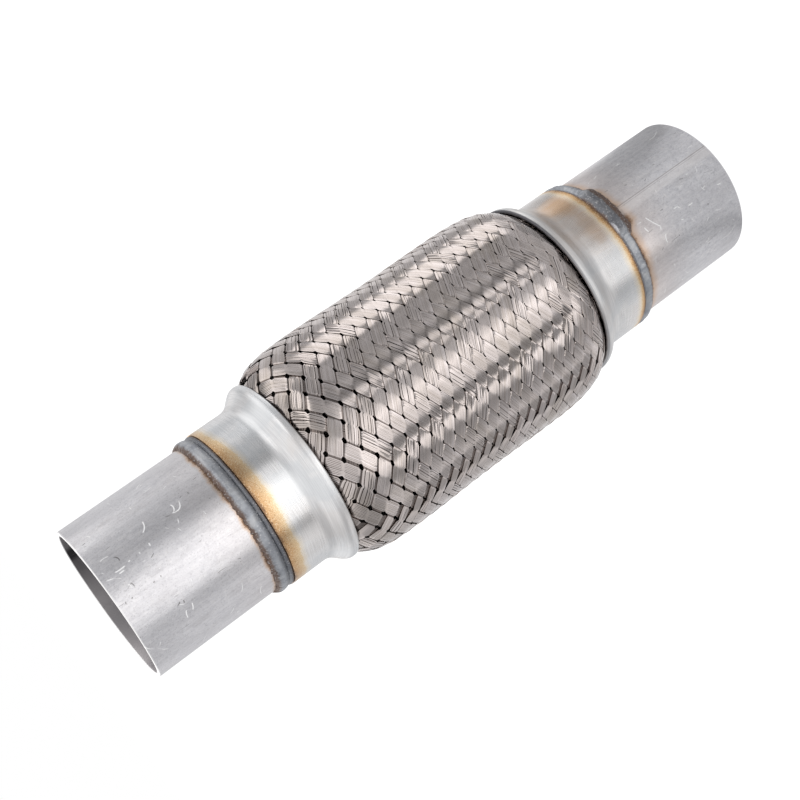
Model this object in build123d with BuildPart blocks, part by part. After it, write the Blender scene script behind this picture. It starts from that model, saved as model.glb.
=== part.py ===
from build123d import *
from math import cos, exp, radians, sin, tanh
import os

# Flexible exhaust coupling with an extension tube welded to each end.
# It stands on its outlet end, and Z runs along the axis. Sizes are in millimetres.

# The whole assembly
overall_length = 254.0
middle_height = overall_length / 2

# Extension tubes, rolled from sheet and seam welded
pipe_outer_radius = 27.25
pipe_wall = 1.5
pipe_inner_radius = pipe_outer_radius - pipe_wall
mouth_chamfer = 0.25

# Collars, drawn from sheet: a straight neck, then a flare with a short lip
neck_start = 50.5
neck_length = 12.3
collar_wall = 1.4
neck_clearance = 0.25
neck_inner_radius = pipe_outer_radius + neck_clearance
neck_outer_radius = neck_inner_radius + collar_wall
flare_start = neck_start + neck_length
flare_angle = 42.0
toe_radius = 6.0
flare_slope = 3.3
crown_radius = 3.4
lip_length = 0.5

# How far each tube reaches into its collar, and the room before the clamped layers
pipe_insertion = 7.5
pipe_length = neck_start + pipe_insertion
stack_gap = 0.3
stack_start = pipe_length + stack_gap

# Fillet welds that close the neck edge on the tube; one has a thicker stop and restart
bead_width = 7.2
bead_height = 1.55
bead_dip = 1.05
bead_dip_width = 1.3
bead_crest_share = 0.55
weld_gap = 0.03
restart_radius = 3.0
restart_sink = 0.4
restart_arc = 38.0
restart_angle = -87.0

# The layers clamped inside each neck, from the outside in
layer_clearance = 0.05
flare_clearance = 0.25
braid_tail_wall = 0.6
bellows_wall = 0.4
inner_braid_wall = 1.0
ring_wall = 1.0
ring_length = 14.0
ring_edge_radius = 0.6

# Outer braid: strands wound both ways, each passing over two and under two
strand_count = 24
columns = 2 * strand_count
column_angle = 360 / columns
row_centre_angle = -87.5
braid_wall = 1.3
ridge_height = 0.6
groove_half_width = 0.3
half_pitch = 2.35
loosening = 6.3
loosening_steps = 7.0
barrel_swell = 6.4
waist_depth = 0.4
waist_spread = 20.0
shoulder_length = 5.4

# Small holes between the strands, near the two collars
gap_size = 1.15
inlet_gap_rings = 3
outlet_gap_rings = 2

# Bellows: two thin plies formed together into round convolutions
convolutions = 14
crest_clearance = 0.8
first_crest_inset = 12.0
convolution_fill = 0.5


def flare_line(offset):
    # The collar's outline, moved inward from its outer face by the offset.
    neck_radius = neck_outer_radius - offset
    neck = Line((neck_radius, neck_start), (neck_radius, flare_start))
    toe = JernArc(neck @ 1, neck % 1, toe_radius + offset, -flare_angle)
    slope = PolarLine(toe @ 1, flare_slope, direction=toe % 1)
    crown = JernArc(slope @ 1, slope % 1, crown_radius - offset, flare_angle)
    lip = Line(crown @ 1, (crown @ 1).add(Vector(0, lip_length)))
    return neck, toe, slope, crown, lip


# The lip's height and the braid's radius as it leaves the lip, read from the collar's outline
with BuildLine(mode=Mode.PRIVATE):
    lip_height = (flare_line(collar_wall)[-1] @ 1).Y
    tail_neck, tail_toe, tail_slope, tail_crown, tail_lip = flare_line(collar_wall + flare_clearance)
lip_end = lip_height + collar_wall / 2
braid_mouth_radius = (tail_lip @ 1).X

# Ring and layer sizes in the neck, worked inward from the collar
braid_tail_radius = neck_inner_radius - flare_clearance
facet_share = cos(radians(column_angle / 2))
cuff_radius = (braid_tail_radius - braid_tail_wall) * facet_share - layer_clearance
inner_braid_radius = cuff_radius - bellows_wall - layer_clearance
ring_radius = inner_braid_radius - inner_braid_wall - layer_clearance

# Weld outline: a crowned bead that dips again beside the neck edge
bead_seat_radius = pipe_outer_radius + weld_gap
bead_start = neck_start - bead_width
bead_dip_start = neck_start - bead_dip_width
bead_crest = bead_start + (bead_dip_start - bead_start) * bead_crest_share
bead_top_radius = neck_outer_radius - collar_wall / 3


def bead_line():
    # The bead's outline: over its crest, down into the dip, and back along tube and neck edge.
    toe = (bead_seat_radius, bead_start)
    crest = (pipe_outer_radius + bead_height, bead_crest)
    dip = (pipe_outer_radius + bead_dip, bead_dip_start)
    ThreePointArc(toe, crest, dip)
    Polyline(dip, (bead_top_radius, neck_start), (bead_seat_radius, neck_start), toe)


# Each end is drawn as a section: X is the radius, Y the distance from that end's mouth.
end_planes = {
    "outlet": Plane.XZ,
    "inlet": Plane(origin=(0, 0, overall_length), x_dir=(1, 0, 0), z_dir=(0, 1, 0)),
}
pieces = {}
for end, section_plane in end_planes.items():
    # Extension tube, with the saw burr taken off its mouth
    with BuildPart() as pipe:
        with BuildSketch(section_plane) as pipe_section:
            with Locations((pipe_inner_radius, 0)):
                Rectangle(pipe_wall, pipe_length, align=Align.MIN)
            chamfer(pipe_section.vertices().group_by(Axis.Y)[0], mouth_chamfer)
        revolve(axis=Axis.Z)
    # Collar, with a fully rounded lip edge
    with BuildPart() as collar:
        with BuildSketch(section_plane):
            with BuildLine():
                outer_line = flare_line(0)
                inner_line = flare_line(collar_wall)
                lip_outside, lip_inside = outer_line[-1] @ 1, inner_line[-1] @ 1
                lip_tip = (lip_outside + lip_inside) / 2 + Vector(0, collar_wall / 2)
                ThreePointArc(lip_outside, lip_tip, lip_inside)
                Line(outer_line[0] @ 0, inner_line[0] @ 0)
            make_face()
        revolve(axis=Axis.Z)
    # Weld bead; at the outlet it overlaps itself in a thicker, round-ended stretch
    with BuildPart() as weld_bead:
        with BuildSketch(section_plane):
            with BuildLine():
                bead_line()
            make_face()
        revolve(axis=Axis.Z)
        if end == "outlet":
            restart_plane = section_plane.rotated((0, 0, restart_angle))
            with BuildSketch(restart_plane):
                with Locations((bead_seat_radius - restart_sink, bead_crest)):
                    Circle(restart_radius)
            revolve(axis=Axis.Z, revolution_arc=restart_arc)
            with PolarLocations(bead_seat_radius - restart_sink, 2, restart_angle, restart_arc, endpoint=True):
                with Locations((0, 0, bead_crest)):
                    Sphere(restart_radius)
            Cylinder(bead_seat_radius, 2 * neck_start, mode=Mode.SUBTRACT)
    # Ring that backs the clamped layers up from inside
    with BuildPart() as inner_ring:
        with BuildSketch(section_plane) as ring_section:
            with Locations((ring_radius - ring_wall, stack_start)):
                Rectangle(ring_wall, ring_length, align=Align.MIN)
            fillet(ring_section.vertices().group_by(Axis.Y)[-1].sort_by(Axis.X)[0], ring_edge_radius)
        revolve(axis=Axis.Z)
    pieces[f"{end}_pipe"] = pipe
    pieces[f"{end}_collar"] = collar
    pieces[f"{end}_weld_bead"] = weld_bead
    pieces[f"{end}_inner_ring"] = inner_ring

# Inner braid: a close wire sleeve that lines the bellows from ring to ring
stack_length = overall_length - 2 * stack_start
with BuildPart() as inner_braid:
    with BuildSketch(Plane.XY.offset(stack_start)):
        Circle(inner_braid_radius)
        Circle(inner_braid_radius - inner_braid_wall, mode=Mode.SUBTRACT)
    extrude(amount=stack_length)


def barrel_radius(height):
    # The braid's outer radius: it swells out of each collar and narrows a little at the middle.
    inset = max(min(height, overall_length - height) - lip_end, 0)
    swell = barrel_swell * (1 - exp(-inset / shoulder_length))
    waist = waist_depth * exp(-(((height - middle_height) / waist_spread) ** 2))
    return braid_mouth_radius + swell - waist


# Bellows: straight cuffs, and round crests and roots joined by flat walls
first_crest = lip_height + first_crest_inset
bellows_crest_radius = (barrel_radius(first_crest) - braid_wall) * facet_share - crest_clearance
convolution_pitch = (overall_length - 2 * first_crest) / (convolutions - 1)
crest_outer = convolution_pitch * convolution_fill / 2
root_outer = convolution_pitch / 2 - crest_outer


def bellows_line(inset):
    # One face of the sheet, moved inward from its outer face by the inset.
    crest_bend, root_bend = crest_outer - inset, root_outer + inset
    cuff, wall_foot = cuff_radius - inset, cuff_radius + root_outer
    wall_top = bellows_crest_radius - crest_outer
    first_root = first_crest - convolution_pitch / 2
    Line((cuff, stack_start), (cuff, first_root))
    CenterArc((wall_foot, first_root), root_bend, 180, -90)
    for turn in range(convolutions):
        height = first_crest + turn * convolution_pitch
        root_arc = -180 if turn < convolutions - 1 else -90
        Line((wall_foot, height - crest_bend), (wall_top, height - crest_bend))
        CenterArc((wall_top, height), crest_bend, -90, 180)
        Line((wall_top, height + crest_bend), (wall_foot, height + crest_bend))
        CenterArc((wall_foot, height + convolution_pitch / 2), root_bend, -90, root_arc)
    Line((cuff, overall_length - first_root), (cuff, overall_length - stack_start))


with BuildPart() as bellows:
    with BuildSketch(Plane.XZ):
        with BuildLine():
            bellows_line(0)
            bellows_line(bellows_wall)
            for end in (stack_start, overall_length - stack_start):
                Line((cuff_radius, end), (cuff_radius - bellows_wall, end))
        make_face()
    revolve(axis=Axis.Z)


# Strand crossings lie in rings a half pitch apart, wider near the inlet where the weave is loose.
weave_top = overall_length - lip_height
weave_length = weave_top - lip_height
steps = 2 * round((weave_length - loosening) / half_pitch / 2)
even_step = (weave_length - loosening) / steps


def ring_height(step):
    # Height of one ring of crossings, counted down from the inlet collar.
    step = min(max(step, 0), steps)
    share = tanh(step / loosening_steps) / tanh(steps / loosening_steps)
    return weave_top - even_step * step - loosening * share


def crossing_radius(height):
    # The wall is low where strands cross.
    return max(barrel_radius(height) - ridge_height, braid_mouth_radius)


def tail_points(inset):
    # The crimped end of the braid, from its clamped edge out to the lip, as radius and height.
    neck_radius = (tail_neck @ 1).X
    bends = [tail_toe @ 0.33, tail_toe @ 0.67, tail_toe @ 1, tail_slope @ 1, tail_crown @ 1, tail_lip @ 1]
    points = [(neck_radius, stack_start), (neck_radius, flare_start)] + [(bend.X, bend.Y) for bend in bends]
    return [(radius - inset, height) for radius, height in points]


def woven_line(column):
    # One upright line of the woven face, from the inlet down, as order, radius and height.
    # The order says when the line beside it moves on, so that each strand ends in a tucked point.
    first = -(column % 2)
    line = []
    for step in range(first, steps - first, 2):
        upper, lower = ring_height(step), ring_height(step + 2)
        line.append((step - 1.25, crossing_radius(upper), upper))
        for order, height in ((step + 0.25, upper - groove_half_width), (step + 0.5, lower + groove_half_width)):
            line.append((order, barrel_radius(height), height))
    line.append((steps - first - 1.25, crossing_radius(lower), lower))
    return line


def spot(column, radius, height):
    # A point on one of the upright lines, in space.
    angle = radians(row_centre_angle + (column - 1.5) * column_angle)
    return (radius * cos(angle), radius * sin(angle), height)


def woven_panels(column, lean):
    # Triangles between two upright lines, taken in order. A leaning row is shifted by one ring.
    left = [(order + lean, spot(column, *place)) for order, *place in woven_line(column)]
    right = [(order, spot(column + 1, *place)) for order, *place in woven_line(column + 1)]
    triangles = []
    while len(left) > 1 or len(right) > 1:
        moves_left = len(right) == 1 or (len(left) > 1 and left[1][0] <= right[1][0])
        moving = left if moves_left else right
        triangles.append((left[0][1], moving[1][1], right[0][1]))
        moving.pop(0)
    return triangles


# The rest of the braid's section: both crimped tails, and a plain inner face between them
inner_shares = (0.02, 0.065, 0.14, 0.26, 0.5, 0.74)
inner_heights = [lip_height + share * weave_length / 2 for share in inner_shares]
lower_line = tail_points(0)[::-1] + tail_points(braid_tail_wall)
lower_line += [(barrel_radius(height) - braid_wall, height) for height in inner_heights]
plain_line = lower_line + [(radius, overall_length - height) for radius, height in reversed(lower_line)]

# Rows lean one way, meet at a border, then lean the other way
row_leans = (0, 1, 0, -1)
gap_rings = [2 + ring for ring in range(inlet_gap_rings)] + [steps - 2 - ring for ring in range(outlet_gap_rings)]
with BuildPart() as outer_braid:
    panels = []
    for column in range(columns):
        panels += woven_panels(column, row_leans[column % len(row_leans)])
        for near, far in zip(plain_line, plain_line[1:]):
            corners = (column, *near), (column + 1, *near), (column + 1, *far), (column, *far)
            panels.append([spot(*corner) for corner in corners])
    add(Solid(Shell([Face(Wire.make_polygon(panel)) for panel in panels])))
    for step in gap_rings:
        height = ring_height(step)
        first_angle = row_centre_angle + (step % 2 - 1.5) * column_angle
        with Locations((0, 0, height)):
            with PolarLocations(barrel_radius(height), strand_count, first_angle):
                Box(4 * braid_wall, gap_size, gap_size, mode=Mode.SUBTRACT)

pieces["outer_braid"] = outer_braid
pieces["bellows"] = bellows
pieces["inner_braid"] = inner_braid
os.makedirs("parts", exist_ok=True)
for name, piece in pieces.items():
    piece.part.label = name
    export_step(piece.part, f"parts/{name}.step", write_pcurves=False)
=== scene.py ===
from math import ceil, cos, degrees, pi, radians, sin, sqrt, tanh, tau

import bmesh
import bpy
import numpy as np
from mathutils import Matrix, Vector, noise


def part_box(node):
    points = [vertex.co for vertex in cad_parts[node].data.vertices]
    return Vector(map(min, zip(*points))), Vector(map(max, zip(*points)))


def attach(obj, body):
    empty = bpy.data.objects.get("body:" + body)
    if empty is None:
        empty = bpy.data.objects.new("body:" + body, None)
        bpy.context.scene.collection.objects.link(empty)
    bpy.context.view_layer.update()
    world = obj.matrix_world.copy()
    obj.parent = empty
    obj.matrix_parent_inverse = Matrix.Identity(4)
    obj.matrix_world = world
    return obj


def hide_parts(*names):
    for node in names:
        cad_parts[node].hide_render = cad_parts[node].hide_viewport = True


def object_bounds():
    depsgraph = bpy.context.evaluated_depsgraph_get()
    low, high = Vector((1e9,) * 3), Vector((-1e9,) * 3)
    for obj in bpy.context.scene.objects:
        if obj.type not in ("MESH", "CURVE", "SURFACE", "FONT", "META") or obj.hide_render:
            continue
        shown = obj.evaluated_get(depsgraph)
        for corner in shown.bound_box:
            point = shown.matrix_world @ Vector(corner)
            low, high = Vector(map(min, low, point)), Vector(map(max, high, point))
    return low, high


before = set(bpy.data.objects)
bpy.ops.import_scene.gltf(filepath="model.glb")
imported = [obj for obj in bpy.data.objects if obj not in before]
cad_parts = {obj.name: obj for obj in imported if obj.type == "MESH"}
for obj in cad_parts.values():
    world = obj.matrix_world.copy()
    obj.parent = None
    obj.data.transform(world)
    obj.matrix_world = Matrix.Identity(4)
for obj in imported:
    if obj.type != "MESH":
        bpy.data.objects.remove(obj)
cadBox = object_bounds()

mm = 0.001
totalHeight = cadBox[1].z / mm
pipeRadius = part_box("outlet_pipe")[1].x / mm
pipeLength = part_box("outlet_pipe")[1].z / mm
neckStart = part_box("outlet_collar")[0].z / mm
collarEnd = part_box("outlet_collar")[1].z / mm
print("frame loaded, height", round(totalHeight, 2), "mm")


# Small helpers for node trees

def addNode(tree, kind, values=None, **settings):
    node = tree.nodes.new(kind)
    for key, value in settings.items():
        setattr(node, key, value)
    for key, value in (values or {}).items():
        if isinstance(value, bpy.types.NodeSocket):
            tree.links.new(value, node.inputs[key])
        else:
            node.inputs[key].default_value = value
    return node


def calc(tree, operation, *values):
    node = addNode(tree, "ShaderNodeMath", dict(enumerate(values)), operation=operation)
    return node.outputs[0]


def times(tree, product, *others):
    for other in others:
        product = calc(tree, "MULTIPLY", product, other)
    return product


def minus(tree, first, second):
    return calc(tree, "SUBTRACT", first, second)


def mixed(tree, start, *parts):
    # The start value plus each part times its weight
    for part, weight in parts:
        start = calc(tree, "MULTIPLY_ADD", part, weight, start)
    return start


def most(tree, values):
    highest = 0.0
    for value in values:
        highest = calc(tree, "MAXIMUM", highest, value)
    return highest


def remap(tree, value, low, high, newLow=0.0, newHigh=1.0):
    # A soft step: newLow where the value is low, newHigh where it is high
    sockets = {"Value": value, 1: low, 2: high, 3: newLow, 4: newHigh}
    return addNode(tree, "ShaderNodeMapRange", sockets, interpolation_type="SMOOTHSTEP").outputs[0]


def remapFrom(tree, value, origin, start, full):
    # The same step, between two distances from an origin
    return remap(tree, value, origin + start, origin + full)


def band(tree, value, middle, outer, inner):
    # 1 near the middle, fading to 0 between inner and outer
    off = calc(tree, "ABSOLUTE", minus(tree, value, middle))
    return remap(tree, off, outer, inner)


def blendColour(tree, amount, first, second):
    return addNode(tree, "ShaderNodeMix", {0: amount, 6: first, 7: second}, data_type="RGBA").outputs[2]


def lay(tree, colour, cover, strength, paint):
    # A paint laid over the colour, at this strength where cover is 1
    return blendColour(tree, times(tree, cover, strength), colour, (*paint, 1.0))


def ramp(tree, value, stops, interpolation="LINEAR"):
    node = addNode(tree, "ShaderNodeValToRGB", {"Fac": value})
    node.color_ramp.interpolation = interpolation
    elements = node.color_ramp.elements
    while len(elements) < len(stops):
        elements.new(0.5)
    for element, (place, colour) in zip(elements, sorted(stops)):
        element.position = place
        element.color = (*colour[:3], 1.0)
    return node.outputs[0]


def grey(level):
    return (level, level, level, 1.0)


def shaded(colour, *shares):
    # A colour scaled by one share, or by one each for its red, green and blue
    shares = shares * 3 if len(shares) == 1 else shares
    return (*[value * share for value, share in zip(colour, shares)], 1.0)


def stretchedNoise(tree, scale, size, detail, roughness, shift=(0.0, 0.0, 0.0)):
    # Noise on the object's own coordinates, pulled out along the axis whose scale is small
    coords = addNode(tree, "ShaderNodeTexCoord")
    sockets = {"Vector": coords.outputs["Object"], "Location": shift, "Scale": scale}
    mapping = addNode(tree, "ShaderNodeMapping", sockets)
    sockets = {"Vector": mapping.outputs[0], "Scale": size, "Detail": detail, "Roughness": roughness}
    return addNode(tree, "ShaderNodeTexNoise", sockets).outputs["Fac"]


def makeNoises(tree, settings):
    return {name: stretchedNoise(tree, *values) for name, values in settings.items()}


def weighed(tree, start, parts, weights):
    return mixed(tree, start, *[(parts[name], weight) for name, weight in weights.items()])


def ragged(tree, value, noises, amounts):
    # The value pushed up and down by noises, each by its own amount
    return minus(tree, weighed(tree, value, noises, amounts), sum(amounts.values()) / 2)


def streaked(tree, cause, colour, streaks):
    darker, lighter = (shaded(colour, streaks[name]) for name in ("dark", "light"))
    return blendColour(tree, remap(tree, cause, *streaks["range"]), darker, lighter)


def blotched(tree, colour, noises, rows, end=None):
    # Each row: noise, where the blotch starts and where it is full, strength, paint
    for name, start, full, strength, paint in rows:
        strength = strength[end] if isinstance(strength, dict) else strength
        colour = lay(tree, colour, remap(tree, noises[name], start, full), strength, paint)
    return colour


def coordinates(tree, kind):
    coords = addNode(tree, "ShaderNodeTexCoord")
    return addNode(tree, "ShaderNodeSeparateXYZ", {0: coords.outputs[kind]}).outputs


def fromAxis(tree, x, y):
    return calc(tree, "SQRT", mixed(tree, 0.0, (x, x), (y, y)))


def azimuth(tree, x, y):
    # Angle round the axis: 0 faces the front, positive is towards +X
    return calc(tree, "ARCTAN2", x, times(tree, y, -1.0))


def objectPlace(tree, end="outlet"):
    # Millimetres from the end's mouth and from the axis, and degrees round the axis
    x, y, z = coordinates(tree, "Object")
    height = calc(tree, "DIVIDE", z, mm)
    if end == "inlet":
        height = minus(tree, totalHeight, height)
    away = calc(tree, "DIVIDE", fromAxis(tree, x, y), mm)
    return height, away, calc(tree, "DEGREES", azimuth(tree, x, y))


def sideways(tree, angle, turn=0.0):
    # From -1 to 1 between two sides of the part, and back again behind it
    return calc(tree, "SINE", calc(tree, "RADIANS", minus(tree, angle, turn)))


def ovalShare(tree, angle, height, place, out, wide, tall):
    # Squared distance from the middle of an oval: 1 at its edge
    across = calc(tree, "DIVIDE", minus(tree, angle, place), wide)
    along = calc(tree, "DIVIDE", minus(tree, height, out), tall)
    return mixed(tree, 0.0, (across, across), (along, along))


def emptyTree(holder):
    holder.use_nodes = True
    holder.node_tree.nodes.clear()
    return holder.node_tree


def newMaterial(name):
    material = bpy.data.materials.new(name)
    return material, emptyTree(material)


def finishSteel(material, colour, parts, values, gloss, look=None):
    # Bare metal: the parts are the noises and marks that its gloss and its relief are weighed from
    tree = material.node_tree
    sockets = {"Metallic": 1.0, "Base Color": colour} | (look or {})
    sockets["Roughness"] = weighed(tree, gloss, parts, values.get("glossFrom", {}))
    if "relief" in values:
        strength, distance = values["reliefDepth"]
        bump = {"Strength": strength, "Distance": distance}
        bump["Height"] = weighed(tree, 0.0, parts, values["relief"])
        sockets["Normal"] = addNode(tree, "ShaderNodeBump", bump).outputs[0]
    shader = addNode(tree, "ShaderNodeBsdfPrincipled", sockets)
    addNode(tree, "ShaderNodeOutputMaterial", {"Surface": shader.outputs[0]})
    return material


def addObject(name, data):
    thing = bpy.data.objects.new(name, data)
    bpy.context.collection.objects.link(thing)
    return thing


# Camera: a level lens tipped down at the standing part and rolled to the photograph's slant

cameraSetup = {
    "place": (-0.00128, -0.43448, 0.28679),
    "tip": 71.07,
    "roll": -125.7,
    "lens": 61.67,
    "sensor": 36.0,
    "nearest": 0.01,
}


def makeCamera():
    data = bpy.data.cameras.new("camera")
    data.lens = cameraSetup["lens"]
    data.sensor_width = cameraSetup["sensor"]
    data.clip_start = cameraSetup["nearest"]
    camera = addObject("camera", data)
    tip = Matrix.Rotation(radians(cameraSetup["tip"]), 4, "X")
    roll = Matrix.Rotation(radians(cameraSetup["roll"]), 4, "Z")
    camera.matrix_world = Matrix.Translation(cameraSetup["place"]) @ tip @ roll
    bpy.context.scene.camera = camera


# Studio: white to the camera, and a room of soft light and dark cards to the metal.
# Cards give brightness by degrees round the part; the floor has a ring of them for each part of the object.

studio = {
    "floorSize": 14.0,
    "floorDrop": 0.0003,
    "floorGlow": 0.86,
    "floorColour": (0.42, 0.42, 0.42, 1.0),
    "fill": 0.62,
    "farCards": {
        -180: 0.66, -120: 0.74, -84: 0.84, -72: 0.72, -64: 0.42, -55: 0.42, -47: 1.1, -40: 1.5,
        -8: 1.54, 3: 1.38, 15: 1.05, 24: 0.76, 31: 0.34, 44: 0.34, 52: 0.5, 84: 0.62, 112: 0.66,
        138: 0.8, 180: 0.66,
    },
    "barrelCards": {
        -180: 0.8, -150: 0.76, -130: 0.62, -119: 0.84, -115: 0.45, -98: 0.47, -94: 0.8, -62: 0.38,
        -50: 1.24, -45: 1.6, -42: 0.32, -34: 0.34, -27: 1.1, -12: 1.2, -5: 1.62, 3: 1.05,
        10: 0.66, 16: 0.66, 20: 0.4, 23: 1.2, 27: 1.12, 31: 0.38, 37: 0.28, 47: 0.62,
        57: 0.45, 72: 0.5, 81: 0.38, 84: 1.45, 110: 1.5, 116: 0.52, 122: 0.55, 145: 0.9,
    },
    "askewPerMetre": 65.0,
    "askewHeight": 0.127,
    "mirrorRadius": 0.038,
    "mirrorNearest": 0.1,
    "neckCards": {
        -180: 0.8, -130: 0.82, -90: 0.94, -72: 0.67, -50: 0.56, -42: 0.9, -34: 1.45, -26: 1.35,
        -12: 0.75, 10: 0.64, 30: 0.6, 60: 0.62, 82: 0.62, 86: 0.9, 108: 0.85, 114: 0.5, 130: 0.72,
        150: 0.98, 180: 0.8,
    },
    "tubeCards": {
        -180: 0.9, -130: 0.74, -90: 0.7, -70: 0.64, -52: 0.47, -30: 0.62, -10: 0.6, 10: 0.62,
        30: 0.66, 50: 0.56, 70: 0.4, 90: 0.42, 110: 0.48, 130: 0.92, 160: 1.25, 180: 0.9,
    },
    "shelf": {
        -180: 1.3, -145: 1.0, -115: 0.5, -70: 0.5, -44: 0.9, -5: 1.1, 10: 0.6, 60: 0.46,
        76: 0.5, 82: 1.25, 112: 1.25, 120: 0.5, 130: 0.45, 150: 1.0, 180: 1.3,
    },
    "zenith": 0.95,
    "shelfFrom": (0.0, 0.05),
    "shelfTo": (0.5, 0.8),
    "neckReach": (0.078, 0.09),
    "barrelReach": (0.122, 0.145),
    "farReach": (0.74, 0.84),
    "toneRange": (0.5, 1.3),
    "cool": (0.99, 0.99, 1.01, 1.0),
    "warm": (1.01, 0.992, 0.985, 1.0),
    "softbox": {"glow": 1.45, "azimuth": (60.0, 94.0), "slant": 0.8, "rise": (14.0, 38.0), "blur": 4.0},
}


def cardGlow(tree, angle, cards):
    share = mixed(tree, 0.5, (angle, 1 / tau))
    scale = max(cards.values())
    stops = [(place / 360 + 0.5, grey(level / scale)) for place, level in cards.items()]
    return times(tree, ramp(tree, share, stops, "EASE"), scale)


def between(tree, share, low, high):
    return mixed(tree, low, (share, minus(tree, high, low)))


def studioTone(tree, level):
    # Dim parts of the studio are a little cool, bright ones a little warm
    return blendColour(tree, remap(tree, level, *studio["toneRange"]), studio["cool"], studio["warm"])


def raysTo(tree):
    rays = addNode(tree, "ShaderNodeLightPath").outputs
    return rays["Is Camera Ray"], rays["Is Glossy Ray"]


def makeWorld():
    world = bpy.data.worlds.new("studioRoom")
    bpy.context.scene.world = world
    tree = emptyTree(world)
    world.cycles.sampling_method = "NONE"
    x, y, rise = coordinates(tree, "Generated")
    angle = azimuth(tree, x, y)
    wall, shelf = (cardGlow(tree, angle, studio[name]) for name in ("farCards", "shelf"))
    level = between(tree, remap(tree, rise, *studio["shelfFrom"]), wall, shelf)
    level = between(tree, remap(tree, rise, *studio["shelfTo"]), level, studio["zenith"])
    # One slanted softbox above the horizon
    box = studio["softbox"]
    tall = calc(tree, "DEGREES", calc(tree, "ARCSINE", rise))
    swung = mixed(tree, calc(tree, "DEGREES", angle), (tall, box["slant"]))
    lit = 1.0
    for value, (low, high) in ((tall, box["rise"]), (swung, box["azimuth"])):
        middle, half = (low + high) / 2, (high - low) / 2
        lit = times(tree, lit, band(tree, value, middle, half + box["blur"], half - box["blur"]))
    level = between(tree, lit, level, box["glow"])
    toCamera, toMetal = raysTo(tree)
    tone = blendColour(tree, toMetal, grey(1.0), studioTone(tree, level))
    level = between(tree, toMetal, studio["fill"], level)
    level = between(tree, toCamera, level, 1.0)
    background = addNode(tree, "ShaderNodeBackground", {"Color": tone, "Strength": level})
    addNode(tree, "ShaderNodeOutputWorld", {"Surface": background.outputs[0]})


def makeFloor():
    material = bpy.data.materials.new("paleFloor")
    tree = emptyTree(material)
    material.cycles.emission_sampling = "NONE"
    x, y, _ = coordinates(tree, "Object")
    away, angle = fromAxis(tree, x, y), azimuth(tree, x, y)
    # The barrel's cards stand askew, as its weave twists with the height that mirrors them
    lensHeight, lensAway = cameraSetup["place"][2], -cameraSetup["place"][1]
    awayShare = calc(tree, "DIVIDE", away, calc(tree, "ADD", away, lensAway))
    mirrorHeight = times(tree, awayShare, lensHeight)
    askew = minus(tree, mirrorHeight, studio["askewHeight"])
    askew = mixed(tree, angle, (askew, radians(studio["askewPerMetre"])))
    # A mirrored ray sets out from the barrel's skin, so the card it meets lies nearer the front
    half = times(tree, angle, 0.5)
    nearer = calc(tree, "MAXIMUM", away, studio["mirrorNearest"])
    ahead = calc(tree, "DIVIDE", studio["mirrorRadius"], nearer)
    askew = mixed(tree, askew, (ahead, calc(tree, "SINE", half)))
    seen = cardGlow(tree, angle, studio["tubeCards"])
    for ring, turned in (("neck", angle), ("barrel", askew), ("far", angle)):
        reach = remap(tree, away, *studio[ring + "Reach"])
        seen = between(tree, reach, seen, cardGlow(tree, turned, studio[ring + "Cards"]))
    toCamera, toMetal = raysTo(tree)
    mirrored = addNode(tree, "ShaderNodeEmission", {"Color": studioTone(tree, seen), "Strength": seen})
    white = addNode(tree, "ShaderNodeEmission", {"Strength": studio["floorGlow"]})
    matt = addNode(tree, "ShaderNodeBsdfDiffuse", {"Color": studio["floorColour"]})
    lit = addNode(tree, "ShaderNodeAddShader", {0: white.outputs[0], 1: matt.outputs[0]})
    sockets = {0: toCamera, 1: matt.outputs[0], 2: lit.outputs[0]}
    plain = addNode(tree, "ShaderNodeMixShader", sockets)
    sockets = {0: toMetal, 1: plain.outputs[0], 2: mirrored.outputs[0]}
    both = addNode(tree, "ShaderNodeMixShader", sockets)
    addNode(tree, "ShaderNodeOutputMaterial", {"Surface": both.outputs[0]})
    side, drop = studio["floorSize"] / 2, -studio["floorDrop"]
    mesh = bpy.data.meshes.new("floor")
    corners = [(-side, -side, drop), (side, -side, drop), (side, side, drop), (-side, side, drop)]
    mesh.from_pydata(corners, [], [(0, 1, 2, 3)])
    mesh.materials.append(material)
    floor = addObject("floor", mesh)


lamps = {
    "overhead": {"place": (0.5, -0.7, 1.5), "aim": (0.0, 0.0, 0.12), "size": 1.4, "watts": 14.0},
    "side": {"place": (-1.0, -0.5, 0.9), "aim": (0.0, 0.0, 0.12), "size": 1.2, "watts": 5.0},
}


def makeLamps():
    for name, lamp in lamps.items():
        data = bpy.data.lights.new(name, "AREA")
        data.size = lamp["size"]
        data.energy = lamp["watts"]
        light = addObject(name, data)
        light.location = lamp["place"]
        towards = Vector(lamp["aim"]) - Vector(lamp["place"])
        light.rotation_euler = towards.to_track_quat("-Z", "Y").to_euler()
        light.visible_camera = False
        light.visible_glossy = False


# Turned pieces: an outline of radius and distance from the piece's own mouth, spun round the axis

def walk(start, heading, moves, arcStep):
    # Follows an outline: a move is a length, or a bend given as (radius, degrees)
    x, y = start
    points = [(x, y)]
    for move in moves:
        radius, turn = move if isinstance(move, tuple) else (0.0, 0.0)
        steps = max(1, ceil(abs(turn) / arcStep))
        for _ in range(steps):
            heading += turn / steps / 2
            length = 2 * radius * sin(radians(abs(turn) / steps / 2)) if turn else move
            x += length * cos(radians(heading))
            y += length * sin(radians(heading))
            heading += turn / steps / 2
            points.append((x, y))
    return points


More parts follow.
